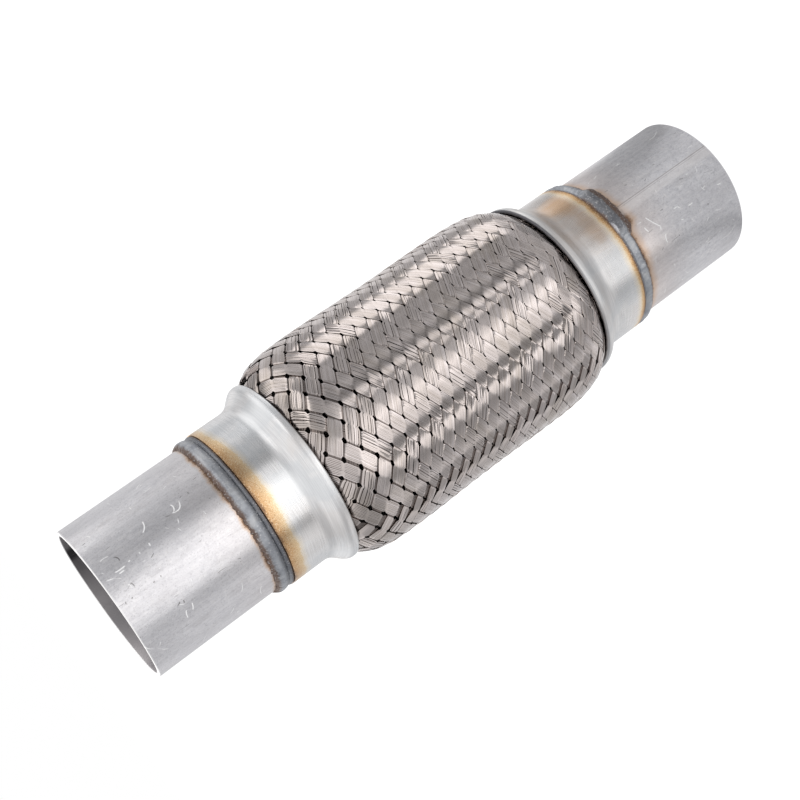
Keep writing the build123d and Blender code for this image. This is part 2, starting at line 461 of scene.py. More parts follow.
def spin(name, outline, segments, end, steel, shape=None, hardAngle=35.0):
    # A closed ring from a closed outline; shape can move a point by its place in the outline and its angle
    bm = bmesh.new()
    rings = []
    for step in range(segments):
        angle = tau * step / segments
        ring = []
        for index, (radius, along) in enumerate(outline):
            if shape:
                radius, along = shape(index, radius, along, degrees(angle))
            height = along if end == "outlet" else totalHeight - along
            x, y = radius * sin(angle), -radius * cos(angle)
            ring.append(bm.verts.new((x * mm, y * mm, height * mm)))
        rings.append(ring)
    for step in range(segments):
        near, far = rings[step], rings[(step + 1) % segments]
        for index in range(len(outline)):
            after = (index + 1) % len(outline)
            bm.faces.new((near[index], far[index], far[after], near[after]))
    bmesh.ops.recalc_face_normals(bm, faces=bm.faces)
    mesh = bpy.data.meshes.new(name)
    bm.to_mesh(mesh)
    bm.free()
    mesh.shade_smooth()
    mesh.set_sharp_from_angle(angle=radians(hardAngle))
    mesh.materials.append(steel)
    return addObject(name, mesh)


def settle(piece, node):
    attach(piece, "root")
    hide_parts(node)


# Heat colours beside the welds
burntSteel = (0.17, 0.1, 0.065)


# Extension tubes: rolled steel, brushed along its length, with a welded seam

pipe = {
    "wall": 1.5,
    "rimRadius": 0.32,
    "rimStep": 22.5,
    "segments": 220,
    "colour": (0.765, 0.76, 0.78),
    "streaks": {"range": (0.36, 0.66), "dark": 0.95, "light": 1.05},
    # Scale along x, y and z, then size, detail, roughness and shift
    "noises": {
        "fine": ((1, 1, 0.1), 6000.0, 2.0, 0.6),
        "medium": ((1, 1, 0.06), 1300.0, 3.0, 0.6),
        "mottle": ((1, 1, 0.7), 650.0, 4.0, 0.7, (6, 3, 2)),
        "cloud": ((1, 1, 0.6), 60.0, 4.0, 0.6),
        "worn": ((1, 1, 0.3), 240.0, 5.0, 0.62, (3, 1, 7)),
        "speck": ((1, 1, 0.8), 2300.0, 3.0, 0.7, (2, 9, 4)),
    },
    "blotches": (
        ("mottle", 0.5, 0.34, {"outlet": 0.45, "inlet": 0.3}, (0.52, 0.52, 0.55)),
        ("mottle", 0.54, 0.68, {"outlet": 0.45, "inlet": 0.3}, (0.97, 0.95, 0.94)),
        ("speck", 0.47, 0.3, 0.55, (0.42, 0.41, 0.42)),
        ("speck", 0.55, 0.7, 0.5, (0.93, 0.93, 0.95)),
        ("worn", 0.52, 0.74, 0.34, (0.5, 0.48, 0.48)),
        ("cloud", 0.56, 0.38, 0.22, (0.56, 0.55, 0.57)),
    ),
    "cast": {
        "ragged": 16.0, "range": (-12.0, 10.0),
        "strength": {"outlet": 0.42, "inlet": 0.12}, "colour": (0.66, 0.55, 0.49),
    },
    # Painted shade round the bore: light and dark levels by share across it, darkest on one side
    "bore": (
        (0.0, 0.66), (0.25, 0.5), (0.5, 0.34), (0.72, 0.22), (0.84, 0.17), (0.87, 0.05), (0.91, 0.05),
        (0.94, 0.28),
    ),
    "boreShadeTint": (1.0, 0.96, 0.98),
    "boreEdge": (0.25, 0.05),
    "rubbed": (0.45, 0.75),
    "gloss": 0.265,
    "glossFrom": {"medium": 0.05, "rubbed": 0.07, "bore": 0.12},
    "relief": {"fine": 0.5, "medium": 0.25, "speck": 1.3, "pit": -1.5, "pale": 3.5, "line": -2.0},
    "reliefDepth": (0.22, 0.00004),
    "cutRing": {"range": (0.45, 0.25), "strength": 0.9},
    "seam": {
        "angle": {"outlet": 19.0, "inlet": 148.0},
        "strip": {"offset": -4.0, "outer": 6.0, "inner": 2.0, "strength": 0.34},
        "stripColour": (0.97, 0.93, 0.91),
        "line": {"outer": 0.55, "inner": 0.12, "strength": 0.55, "colour": (0.3, 0.265, 0.25)},
        "secondLine": {"offset": -1.5, "outer": 0.45, "inner": 0.1, "share": 0.55},
    },
    "tint": {
        "length": {"outlet": 4.2, "inlet": 1.5}, "ragged": {"cloud": 4.0, "worn": 2.0, "speck": 2.0},
        # Share of the length where each starts, where it is full, strength and paint
        "layers": ((1.0, 0.2, 0.88, (0.62, 0.43, 0.29)), (0.3, 0.3, 0.85, burntSteel)),
    },
    "wornScuffs": (0.47, 0.55),
    "scuffs": (
        {"cell": 6.0, "length": 2.4, "width": 0.15, "bend": 0.5, "chance": 0.45},
        {"cell": 10.0, "length": 5.0, "width": 0.15, "bend": -0.9, "chance": 0.45, "shift": 3.3},
        {"cell": 2.3, "length": 0.8, "width": 0.13, "chance": 0.22, "shift": 8.1},
    ),
    "cloudedPulls": (0.42, 0.54),
    "pulls": (
        {"cell": 3.4, "length": 0.9, "width": 0.16, "chance": 0.15, "spread": 0.35, "shift": 5.7},
        {"cell": 8.0, "length": 3.0, "width": 0.1, "bend": 0.2, "chance": 0.22, "spread": 0.2, "shift": 1.9},
    ),
    "pullLean": 90.0,
    # Single marks: angle, distance from the mouth, length, turn and bend
    "scratchWidth": 0.25,
    "scratches": {
        "outlet": (
            (-5.1, 35.8, 6.5, 31, 0.02), (-6.7, 39.5, 2.3, 17, 0.1), (-11.7, 34.3, 1.4, -26, 0.3),
            (-6.0, 25.3, 1.7, 90, 0.2), (-7.0, 24.1, 1.3, 35, 0.1), (-10.4, 19.4, 2.3, 89, 0.15),
            (-16.1, 25.1, 1.3, 73, 0.4), (-20.4, 34.3, 3.4, -14, 0.14), (-10.6, 5.3, 2.0, 80, 0.2),
        ),
        "inlet": (
            (27.0, 19.9, 4.0, 31, 0.15), (15.3, 17.9, 1.4, 7, 0.2), (14.6, 14.1, 0.8, 0, 0.0),
            (13.1, 6.8, 3.6, 90, 0.05), (11.3, 6.7, 2.0, 88, 0.0), (14.2, 10.3, 1.0, 80, 0.0),
            (-35.7, 15.3, 3.0, 14, -0.1), (-33.6, 18.1, 2.6, 20, 0.1), (23.4, 31.3, 4.6, 62, 0.28),
            (26.4, 30.2, 3.0, 10, 0.3), (1.6, 6.4, 1.6, -16, 0.4),
        ),
    },
    "pitWidth": 0.26,
    "pitStrength": 0.7,
    "pitColour": (0.13, 0.12, 0.115),
    "pits": {
        "outlet": ((-24.5, 28.9, 0.9, 0, 0.0), (-18.0, 13.0, 1.0, 60, 0.0)),
        "inlet": (
            (20.2, 8.2, 2.4, -21, 0.3), (1.2, 7.2, 1.8, -16, 0.3), (-5.6, 2.5, 1.0, 20, 0.0),
            (-5.4, 4.8, 0.9, 50, 0.0), (-5.3, 12.5, 0.9, 70, 0.0), (-4.8, 15.1, 0.8, 20, 0.0),
            (-26.3, 15.0, 1.6, 60, 0.3), (-27.0, 16.6, 1.3, 10, 0.2), (28.9, 36.3, 0.9, 0, 0.0),
        ),
    },
}


def strokes(tree, angle, height, lean, cell, length, width, chance, bend=0.0, spread=1.0, shift=0.0):
    # Short scratches: one in some cells of a net over the tube's skin, each turned its own way
    arc = mixed(tree, shift, (angle, radians(1) * pipeRadius / cell))
    along = calc(tree, "DIVIDE", height, cell)
    flat = addNode(tree, "ShaderNodeCombineXYZ", {0: arc, 1: along})
    sockets = {"Vector": flat.outputs[0], "Scale": 1.0}
    cells = addNode(tree, "ShaderNodeTexVoronoi", sockets, voronoi_dimensions="2D")
    dice = addNode(tree, "ShaderNodeSeparateColor", {0: cells.outputs["Color"]})
    sockets = {0: flat.outputs[0], 1: cells.outputs["Position"]}
    off = addNode(tree, "ShaderNodeVectorMath", sockets, operation="SUBTRACT")
    turn = minus(tree, dice.outputs[0], 0.5)
    turn = mixed(tree, radians(lean), (turn, pi * spread))
    sockets = {"Vector": off.outputs[0], "Angle": turn}
    spun = addNode(tree, "ShaderNodeVectorRotate", sockets, rotation_type="Z_AXIS")
    x, y, _ = addNode(tree, "ShaderNodeSeparateXYZ", {0: spun.outputs[0]}).outputs
    y = mixed(tree, y, (times(tree, x, x), bend))
    thin = band(tree, y, 0.0, width / cell, width / cell * 0.4)
    half = times(tree, dice.outputs[2], length / cell)
    short = remap(tree, minus(tree, calc(tree, "ABSOLUTE", x), half), 0.0, -0.3 * length / cell)
    picked = remap(tree, dice.outputs[1], 1 - chance, 1 - chance + 0.01)
    return times(tree, thin, short, picked)


def dashes(tree, angle, height, marks, width):
    # Single marks, each given by its angle, height, length, turn and bend
    drawn = []
    for place, up, length, turn, bend in marks:
        x = times(tree, minus(tree, angle, place), radians(1) * pipeRadius)
        y = minus(tree, height, up)
        cosine, sine = cos(radians(turn)), sin(radians(turn))
        along = mixed(tree, 0.0, (x, cosine), (y, sine))
        across = mixed(tree, 0.0, (y, cosine), (x, -sine))
        if bend:
            across = mixed(tree, across, (times(tree, along, along), bend))
        thin = band(tree, across, 0.0, width, width * 0.35)
        short = band(tree, along, 0.0, length / 2, length / 2 - 0.35)
        drawn.append(times(tree, thin, short))
    return most(tree, drawn)


def restartShare(tree, angle):
    # How far a place round the outlet's weld lies within its thick stretch
    restart = weld["restart"]
    middle, half = (restart["from"] + restart["to"]) / 2, (restart["to"] - restart["from"]) / 2
    return band(tree, angle, middle, half + restart["fade"], half)


def makePipeSteel(end):
    material, tree = newMaterial(end + "TubeSteel")
    height, away, angle = objectPlace(tree, end)
    noises = makeNoises(tree, pipe["noises"])
    colour = streaked(tree, noises["medium"], pipe["colour"], pipe["streaks"])
    colour = blotched(tree, colour, noises, pipe["blotches"], end)
    # A warm cast that fades towards the mouth
    toe = neckStart - weld["width"]
    cast = pipe["cast"]
    near = mixed(tree, height, (noises["cloud"], cast["ragged"]))
    near = remapFrom(tree, near, toe, *cast["range"])
    colour = lay(tree, colour, near, cast["strength"][end], cast["colour"])
    # Pale scratches where the steel is worn, and dark pulled-out pits
    scuffs = most(tree, [strokes(tree, angle, height, 0.0, **stroke) for stroke in pipe["scuffs"]])
    scuffs = times(tree, scuffs, remap(tree, noises["worn"], *pipe["wornScuffs"]))
    scratches = dashes(tree, angle, height, pipe["scratches"][end], pipe["scratchWidth"])
    pale = calc(tree, "MAXIMUM", scuffs, scratches)
    colour = blendColour(tree, pale, colour, grey(1.0))
    lean = pipe["pullLean"]
    pulls = most(tree, [strokes(tree, angle, height, lean, **stroke) for stroke in pipe["pulls"]])
    pulls = times(tree, pulls, remap(tree, noises["cloud"], *pipe["cloudedPulls"]))
    pit = calc(tree, "MAXIMUM", pulls, dashes(tree, angle, height, pipe["pits"][end], pipe["pitWidth"]))
    colour = lay(tree, colour, pit, pipe["pitStrength"], pipe["pitColour"])
    # Heat tint that fades away from the weld's toe, which is pulled in except at the thick stretch
    tint = pipe["tint"]
    pulledIn = weld["narrow"][end] * weld["width"]
    toe += pulledIn
    edge = ragged(tree, height, noises, tint["ragged"])
    if end == "outlet":
        edge = mixed(tree, edge, (restartShare(tree, angle), pulledIn))
    for share, full, strength, paint in tint["layers"]:
        cover = remapFrom(tree, edge, toe, -tint["length"][end] * share, full)
        colour = lay(tree, colour, cover, strength, paint)
    # Seam: a pale strip with a thin darker line at its side
    strip, line, second = (pipe["seam"][name] for name in ("strip", "line", "secondLine"))
    side = minus(tree, angle, pipe["seam"]["angle"][end])
    paleStrip = band(tree, side, strip["offset"], strip["outer"], strip["inner"])
    colour = lay(tree, colour, paleStrip, strip["strength"], pipe["seam"]["stripColour"])
    firstLine = band(tree, side, 0.0, line["outer"], line["inner"])
    fainter = band(tree, side, second["offset"], second["outer"], second["inner"])
    darkLine = calc(tree, "MAXIMUM", firstLine, times(tree, fainter, second["share"]))
    colour = lay(tree, colour, darkLine, line["strength"], line["colour"])
    # The bore gets painted shade, light on one side and dark on the other, and the cut end is bright
    boreRadius = pipeRadius - pipe["wall"]
    bore = remapFrom(tree, away, boreRadius, *pipe["boreEdge"])
    share = mixed(tree, 0.5, (sideways(tree, angle), 0.5))
    shades = [(place, shaded(pipe["boreShadeTint"], level)) for place, level in pipe["bore"]]
    colour = blendColour(tree, bore, colour, ramp(tree, share, shades))
    cutRing = remap(tree, height, *pipe["cutRing"]["range"])
    colour = lay(tree, colour, cutRing, pipe["cutRing"]["strength"], (1.0, 1.0, 1.0))
    parts = noises | {"bore": bore, "pit": pit, "pale": pale, "line": darkLine}
    parts["rubbed"] = remap(tree, noises["worn"], *pipe["rubbed"])
    look = {"Metallic": minus(tree, 1.0, pale)}
    return finishSteel(material, colour, parts, pipe, pipe["gloss"], look)


def makePipe(end):
    rim = pipe["rimRadius"]
    moves = [pipeLength - rim, (rim, -90.0), pipe["wall"] - 2 * rim, (rim, -90.0), pipeLength - rim]
    outline = walk((pipeRadius, pipeLength), -90.0, moves, pipe["rimStep"])
    piece = spin(end + "PipeSkin", outline, pipe["segments"], end, makePipeSteel(end))
    settle(piece, end + "_pipe")


# Collars: drawn sheet, spun from the same section as the CAD collar

collar = {
    "wall": 1.4,
    "clearance": 0.25,
    "neckLength": 12.3,
    "flareAngle": 42.0,
    "toeRadius": 6.0,
    "slope": 3.3,
    "crownRadius": 3.4,
    "lip": 0.5,
    "bendStep": 5.0,
    "segments": 240,
    "colour": {"outlet": (0.74, 0.735, 0.73), "inlet": (0.8, 0.8, 0.8)},
    "streaks": {"range": (0.34, 0.66), "dark": 0.9, "light": 1.1},
    "noises": {
        "rings": ((0.02, 0.02, 1), 5200.0, 3.0, 0.6),
        "drawn": ((1, 1, 0.06), 1900.0, 2.0, 0.6),
        "cloud": ((1, 1, 0.8), 85.0, 4.0, 0.62),
        "patches": ((1, 1, 0.7), 70.0, 4.0, 0.6, (5, 2, 1)),
        "speck": ((1, 1, 1), 2600.0, 3.0, 0.7, (2, 9, 4)),
    },
    # Cool and warm patches: where they start and are full, strength, and shares of the steel's own colour
    "patches": ((0.46, 0.6, 0.5, (0.84, 0.88, 0.91)), (0.46, 0.34, 0.4, (1.0, 0.95, 0.91))),
    # Stains beside the weld: angle, distance out along the neck, width, height and strength
    "stains": {
        "outlet": ((46.0, 6.4, 12.0, 7.0, 0.95), (17.0, 5.6, 12.0, 3.6, 0.6), (36.0, 8.0, 34.0, 9.0, 0.5)),
    },
    "stainRagged": {"cloud": 2.5, "drawn": 0.9},
    "stainFade": (2.4, -0.6),
    "stainColour": (0.52, 0.36, 0.235),
    "gold": {"outlet": 1.9, "inlet": 4.5},
    "goldRagged": {"cloud": 3.6, "speck": 2.4},
    "goldNarrows": (0.25, 0.97, 0.0, 2.0),
    # Bands by their distance from the gold's reach, and coloured specks in it by the size of the noise
    "strawEdge": (2.4, 0.0),
    "straw": (0.65, (0.86, 0.75, 0.58)),
    "goldEdge": (0.5, -0.7),
    "goldStrength": 0.85,
    "deepFrom": 0.5,
    "deepGold": ((0.6, 0.33, 0.12, 1.0), (0.8, 0.59, 0.34, 1.0)),
    "specks": (
        ((1.2, -0.6), (0.56, 0.64), (0.6, (0.95, 0.84, 0.66))),
        ((0.0, -3.0), (0.44, 0.36), (0.6, (0.3, 0.18, 0.09))),
    ),
    "burntEdge": (0.9, -0.3),
    "burntStrength": 0.85,
    "paintedRimShade": {"outlet": 0.9, "inlet": 0.45},
    "rimShadeColour": (0.1, 0.098, 0.11),
    "rimShadeEdge": (-0.2, 0.4),
    "rimShadeTurn": 10.0,
    "rimShadeBySide": (-0.57, 0.57, 0.45, 0.95),
    "flared": (11.0, 14.0),
    "gloss": {"outlet": 0.26, "inlet": 0.2},
    "glossFrom": {"drawn": 0.03, "gold": 0.04, "flared": 0.12},
    "relief": {"rings": 1.0, "drawn": 0.25, "patches": 6.0},
    "reliefDepth": (0.25, 0.00004),
}
neckRadius = pipeRadius + collar["clearance"] + collar["wall"]


def heatTint(tree, colour, above, angle, noises, end):
    # Straw, gold and burnt bands beside the weld, grainy at their outer edge
    edge = ragged(tree, above, noises, collar["goldRagged"])
    if end == "inlet":
        # The tint narrows towards one side
        edge = calc(tree, "ADD", edge, remap(tree, sideways(tree, angle), *collar["goldNarrows"]))
    reach = collar["gold"][end]
    colour = lay(tree, colour, remapFrom(tree, edge, reach, *collar["strawEdge"]), *collar["straw"])
    gold = remapFrom(tree, edge, reach, *collar["goldEdge"])
    deep = blendColour(tree, remap(tree, edge, collar["deepFrom"], reach), *collar["deepGold"])
    colour = blendColour(tree, times(tree, gold, collar["goldStrength"]), colour, deep)
    for edges, sizes, paint in collar["specks"]:
        specks = remap(tree, noises["speck"], *sizes)
        colour = lay(tree, colour, times(tree, specks, remapFrom(tree, edge, reach, *edges)), *paint)
    burnt = remap(tree, edge, *collar["burntEdge"])
    return lay(tree, colour, burnt, collar["burntStrength"], burntSteel), gold


def makeCollarSteel(end):
    material, tree = newMaterial(end + "CollarSteel")
    height, _, angle = objectPlace(tree, end)
    noises = makeNoises(tree, collar["noises"])
    base = collar["colour"][end]
    colour = streaked(tree, noises["rings"], base, collar["streaks"])
    for start, full, strength, shares in collar["patches"]:
        cover = remap(tree, noises["patches"], start, full)
        colour = lay(tree, colour, cover, strength, shaded(base, *shares)[:3])
    above = minus(tree, height, neckStart)
    # Soft brown stains beside the thick end of the weld
    for *oval, strength in collar["stains"].get(end, ()):
        off = ragged(tree, ovalShare(tree, angle, above, *oval), noises, collar["stainRagged"])
        colour = lay(tree, colour, remap(tree, off, *collar["stainFade"]), strength, collar["stainColour"])
    colour, gold = heatTint(tree, colour, above, angle, noises, end)
    # Painted shade along the rim, stronger on one side than the other
    rim = collarEnd - collar["paintedRimShade"][end]
    shade = remap(tree, sideways(tree, angle, collar["rimShadeTurn"]), *collar["rimShadeBySide"])
    paintedRimShade = remapFrom(tree, height, rim, *collar["rimShadeEdge"])
    colour = lay(tree, colour, paintedRimShade, shade, collar["rimShadeColour"])
    parts = noises | {"gold": gold, "flared": remap(tree, above, *collar["flared"])}
    return finishSteel(material, colour, parts, collar, collar["gloss"][end])


def makeCollar(end):
    out = [collar["neckLength"], (collar["toeRadius"], -collar["flareAngle"]), collar["slope"]]
    out += [(collar["crownRadius"], collar["flareAngle"]), collar["lip"]]
    edge = [(collar["wall"] / 2, 180.0), collar["lip"]]
    back = [(collar["crownRadius"] - collar["wall"], -collar["flareAngle"]), collar["slope"]]
    back += [(collar["toeRadius"] + collar["wall"], collar["flareAngle"]), collar["neckLength"]]
    outline = walk((neckRadius, neckStart), 90.0, out + edge + back, collar["bendStep"])
    piece = spin(end + "CollarSkin", outline, collar["segments"], end, makeCollarSteel(end))
    settle(piece, end + "_collar")


# Weld beads: a crowned fillet with overlapping ripples; the outlet's has a thick stop and restart

weld = {
    "width": 7.2,
    "narrow": {"outlet": 0.3, "inlet": 0.12},
    "seatGap": 0.03,
    "height": 1.55,
    "crownPower": 0.7,
    "crestShare": 0.5,
    "grooveHeight": 0.8,
    "grooveWidth": 1.75,
    "ridge": 0.42,
    "ridgeRows": 4,
    "topDrop": 0.47,
    "segments": 640,
    "rows": 18,
    "hardAngle": 60.0,
    "seed": {"outlet": 3.7, "inlet": 11.2},
    "ripple": {"outlet": 0.06, "inlet": 0.022},
    "rippleLength": 1.75,
    "crescent": 3.68,
    "lump": {"outlet": 0.26, "inlet": 0.14},
    "toeWander": 0.6,
    # Sizes of the noises round the bead, and how far they turn the ripples and narrow the toe
    "noiseRadius": 14.0,
    "slowSize": 0.33,
    "wanderSize": 0.6,
    "wanderAlong": 0.35,
    "toeSize": 2.6,
    "rippleTurn": 2.4,
    "rippleSink": 0.4,
    "slowNarrow": 0.04,
    "restart": {"from": 6.0, "to": 38.0, "fade": 8.0, "height": 2.75, "fullness": 0.6, "lump": 0.12},
    "noises": {
        "lump": ((1, 1, 1), 240.0, 4.0, 0.6),
        "speck": ((1, 1, 1), 1700.0, 3.0, 0.7, (1, 4, 2)),
    },
    "steel": [(0.32, (0.3, 0.315, 0.345)), (0.5, (0.41, 0.43, 0.46)), (0.7, (0.52, 0.53, 0.545))],
    "thick": (0.68, (0.09, 0.09, 0.1)),
    "paintedShine": {
        "oval": (6.5, 49.9, 5.0, 0.8), "ragged": {"speck": 2.5},
        "fade": (1.2, 0.2), "paint": (0.8, (0.85, 0.86, 0.9)),
    },
    "edgeRagged": {"speck": 1.2, "lump": 1.6},
    "gloss": 0.33,
    "glossFrom": {"speck": 0.25},
    "relief": {"speck": 1.0, "lump": 1.0},
    "reliefDepth": (0.3, 0.00012),
    "brownToe": (1.7, 0.5),
    "brownNeck": (-1.1, -0.3),
    "brown": (0.85, (0.16, 0.1, 0.07)),
    "shadeEdge": (2.8, 4.2),
    "shade": (0.66, (0.12, 0.125, 0.14)),
    "blotches": (
        ("speck", 0.57, 0.65, 0.6, (0.68, 0.68, 0.68)),
        ("speck", 0.36, 0.28, 0.5, (0.09, 0.08, 0.075)),
    ),
}


def makeWeldSteel(end):
    material, tree = newMaterial(end + "WeldSteel")
    height, _, angle = objectPlace(tree, end)
    noises = makeNoises(tree, weld["noises"])
    colour = ramp(tree, noises["lump"], weld["steel"])
    if end == "outlet":
        # The thick stretch is darker, and a painted highlight lies where the weld was stopped
        colour = lay(tree, colour, restartShare(tree, angle), *weld["thick"])
        paintedShine = weld["paintedShine"]
        off = ragged(tree, ovalShare(tree, angle, height, *paintedShine["oval"]), noises, paintedShine["ragged"])
        colour = lay(tree, colour, remap(tree, off, *paintedShine["fade"]), *paintedShine["paint"])
    edge = ragged(tree, height, noises, weld["edgeRagged"])
    toe = neckStart - weld["width"] * (1 - weld["narrow"][end])
    atToe = remapFrom(tree, edge, toe, *weld["brownToe"])
    atNeck = remapFrom(tree, edge, neckStart, *weld["brownNeck"])
    colour = lay(tree, colour, calc(tree, "MAXIMUM", atToe, atNeck), *weld["brown"])
    if end == "inlet":
        # Painted shade darkens the collar side of the inlet's bead
        colour = lay(tree, colour, remapFrom(tree, edge, toe, *weld["shadeEdge"]), *weld["shade"])
    colour = blotched(tree, colour, noises, weld["blotches"])
    return finishSteel(material, colour, noises, weld, weld["gloss"])


def makeWeld(end):
    seat = pipeRadius + weld["seatGap"]
    toe, groove = neckStart - weld["width"], neckStart - weld["grooveWidth"]
    crest = toe + (groove - toe) * weld["crestShare"]
    outline = []
    for row in range(weld["rows"] + 1):
        along = toe + (groove - toe) * row / weld["rows"]
        side = (along - crest) / ((crest - toe) if along < crest else (groove - crest))
        low = 0.0 if along < crest else weld["grooveHeight"]
        crown = (weld["height"] - low) * (1 - side ** 2) ** weld["crownPower"]
        outline.append((seat + low + crown, along))
    grooveRadius, topRadius = seat + weld["grooveHeight"], neckRadius - weld["topDrop"]
    for row in range(1, weld["ridgeRows"] + 1):
        share = row / (weld["ridgeRows"] + 1)
        radius = grooveRadius + (topRadius - grooveRadius) * share
        radius += weld["ridge"] * sin(pi * share)
        outline.append((radius, groove + weld["grooveWidth"] * share))
    outline += [(topRadius, neckStart), (seat, neckStart)]
    restart = weld["restart"]
    seed = weld["seed"][end]
    turns = round(tau * pipeRadius / weld["rippleLength"])

    def flow(index, radius, along, angle):
        # Ripples, lumps, a wandering toe and the thick stretch
        if index > weld["rows"] + weld["ridgeRows"]:
            return radius, along
        around = Vector((sin(radians(angle)), cos(radians(angle)), 0)) * weld["noiseRadius"]
        share = (along - (groove + toe) / 2) / ((groove - toe) / 2)
        window = sqrt(max(0.0, 1 - share * share))
        slow = noise.noise(around * weld["slowSize"] + Vector((0, 0, seed)))
        drift = Vector((0, 0, seed + along * weld["wanderAlong"]))
        wander = noise.noise(around * weld["wanderSize"] + drift)
        phase = radians(angle) * turns + wander * weld["rippleTurn"] + weld["crescent"] * share * share
        radius += window * weld["ripple"][end] * (cos(phase) - weld["rippleSink"])
        radius += window * weld["lump"][end] * wander
        thick = 0.0
        if end == "outlet":
            turned = (angle + 180) % 360 - 180
            off = max(restart["from"] - turned, turned - restart["to"], 0.0) / restart["fade"]
            thick = sqrt(max(0.0, 1 - off * off))
            across = (along - (toe + neckStart) / 2) / ((neckStart - toe) / 2)
            dome = restart["height"] * thick * max(0.0, 1 - across * across) ** restart["fullness"]
            radius = max(radius, seat + dome * (1 + restart["lump"] * wander))
        narrow = weld["narrow"][end] * (1 - thick) + weld["slowNarrow"] * slow
        roughToe = noise.noise(around * weld["toeSize"] + Vector((0, 0, seed))) * weld["toeWander"]
        along = neckStart - (neckStart - along) * (1 - narrow) + roughToe * max(0.0, -share) ** 2
        return max(radius, seat), along

    steel = makeWeldSteel(end)
    piece = spin(end + "WeldSkin", outline, weld["segments"], end, steel, flow, weld["hardAngle"])
    settle(piece, end + "_weld_bead")


# Braid: 24 strands each way, two over and two under, each strand a flat row of wires

braid = {
    "strands": 24,
    "wires": 10,
    "wireWidth": 0.407,
    "wireThickness": 0.27,
    "wireSpacing": 0.424,
    "hardAngle": 20.0,
    "grid": (-0.05, 0.05, 0.18, 0.86, 1.0, 1.14, 1.82),
    "lift": 0.28,
    "bow": 0.18,
    "squeeze": 0.24,
    "neckSteps": 0.09,
    "slit": 0.36,
    "slitAngle": -54.0,
    "slitSpread": 7.0,
    "fan": 0.12,
    "fanSteps": 4.0,
    "crown": 0.02,
    "depth": 0.5,
    "clearance": 0.25,
    "tuck": 1.3,
    "tuckDrop": 0.13,
    "halfPitch": 2.35,
    "loosening": 6.3,
    "looseningSteps": 7.0,
    "swell": 6.4,
    "shoulder": 5.4,
    "waist": 0.4,
    "waistSpread": 20.0,
    "rowAngle": -87.9,
    "twistPerMm": 0.0325,
    "twistFrom": 100.0,
    "wander": 0.04,
    "wanderSize": 110.0,
    "roll": 0.13,
    "strandShift": 0.05,
    "looseShare": {1: 0.38, -1: 0.18},
    "loose": {"roll": 5.5, "across": 0.095, "rise": 0.045},
    "tight": {"roll": 1.0, "across": 0.012, "rise": 0.01},
    "highest": 0.04,
    "floatTilt": {"middle": 1.0, "ends": 4.0, "steps": 4.0},
    "seed": 7,
    "strandTint": 0.07,
    "tintSpread": 0.15,
    "colour": (0.64, 0.585, 0.57),
    "dark": (0.72, 0.7, 0.66),
    "light": (1.16, 1.17, 1.18),
    "noises": {"patch": ((1, 1, 1), 55.0, 3.0, 0.55), "fine": ((1, 1, 1), 900.0, 2.0, 0.6)},
    # Patina, and painted shade where strands dive under the crossings
    "blotches": (
        ("patch", 0.5, 0.72, 0.35, (0.52, 0.46, 0.39)),
        ("over", 0.98, 0.5, 0.8, (0.09, 0.068, 0.06)),
    ),
    "grainAcross": 0.35,
    "gloss": 0.1,
    "glossFrom": {"fine": 0.06},
}
lipHeight = collarEnd - collar["wall"] / 2
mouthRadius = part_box("outlet_collar")[1].x / mm - collar["wall"] - braid["clearance"]
weaveTop = totalHeight - lipHeight
weaveLength = weaveTop - lipHeight
ringSteps = 2 * round((weaveLength - braid["loosening"]) / braid["halfPitch"] / 2)
evenStep = (weaveLength - braid["loosening"]) / ringSteps


def barrelRadius(height):
    inset = np.minimum(height, totalHeight - height) - collarEnd
    swell = braid["swell"] * (1 - np.exp(-np.maximum(inset, 0) / braid["shoulder"]))
    tucked = np.maximum(-inset, 0)
    waist = braid["waist"] * np.exp(-(((height - totalHeight / 2) / braid["waistSpread"]) ** 2))
    return mouthRadius + swell - waist - tucked ** 2 * braid["tuckDrop"]


def ringHeight(step):
    inside = np.clip(step, 0, ringSteps)
    share = np.tanh(inside / braid["looseningSteps"]) / tanh(ringSteps / braid["looseningSteps"])
    height = weaveTop - evenStep * step - braid["loosening"] * share
    looseEdge = braid["loosening"] / braid["looseningSteps"]
    return height - np.minimum(step, 0) * looseEdge


def acrossStrand(grid, firstDive, toEnd, strand, lean, offset, shift):
    # How far one wire lies from its strand's middle: necked where strands cross, fanned out at the ends
    fanned = 1 + braid["fan"] * np.exp(-toEnd / braid["fanSteps"])
    necked = np.exp(-((((grid - firstDive + 0.5) % 1 - 0.5) / braid["neckSteps"]) ** 2))
    spread = offset * fanned * (1 - braid["squeeze"] * necked) + shift
    if lean > 0:
        # Along one side the strands that lean this way are drawn together and leave slits
        facing = braid["rowAngle"] + 90 + (grid - 2 * strand - 2.5) * 180 / braid["strands"]
        facing = (facing + 180) % 360 - 180
        slit = braid["slit"] * np.exp(-(((facing - braid["slitAngle"]) / braid["slitSpread"]) ** 2))
        spread = spread - slit * (offset + halfStrand)
    return spread


def flatTurn(points, angle, height):
    # The wire's flat side follows the barrel's skin: a turn about the wire from its level normal
    heading = np.gradient(points, axis=0)
    heading /= np.linalg.norm(heading, axis=1)[:, None]
    slope = (barrelRadius(height - 0.1) - barrelRadius(height + 0.1)) / 0.2
    skin = np.stack((np.cos(angle), np.sin(angle), slope), 1)
    level = np.cross(heading, (0, 0, 1))
    upward = np.cross(heading, level)
    return np.arctan((skin * upward).sum(1) / (skin * level).sum(1))


halfStrand = braid["wireSpacing"] * (braid["wires"] - 1) / 2


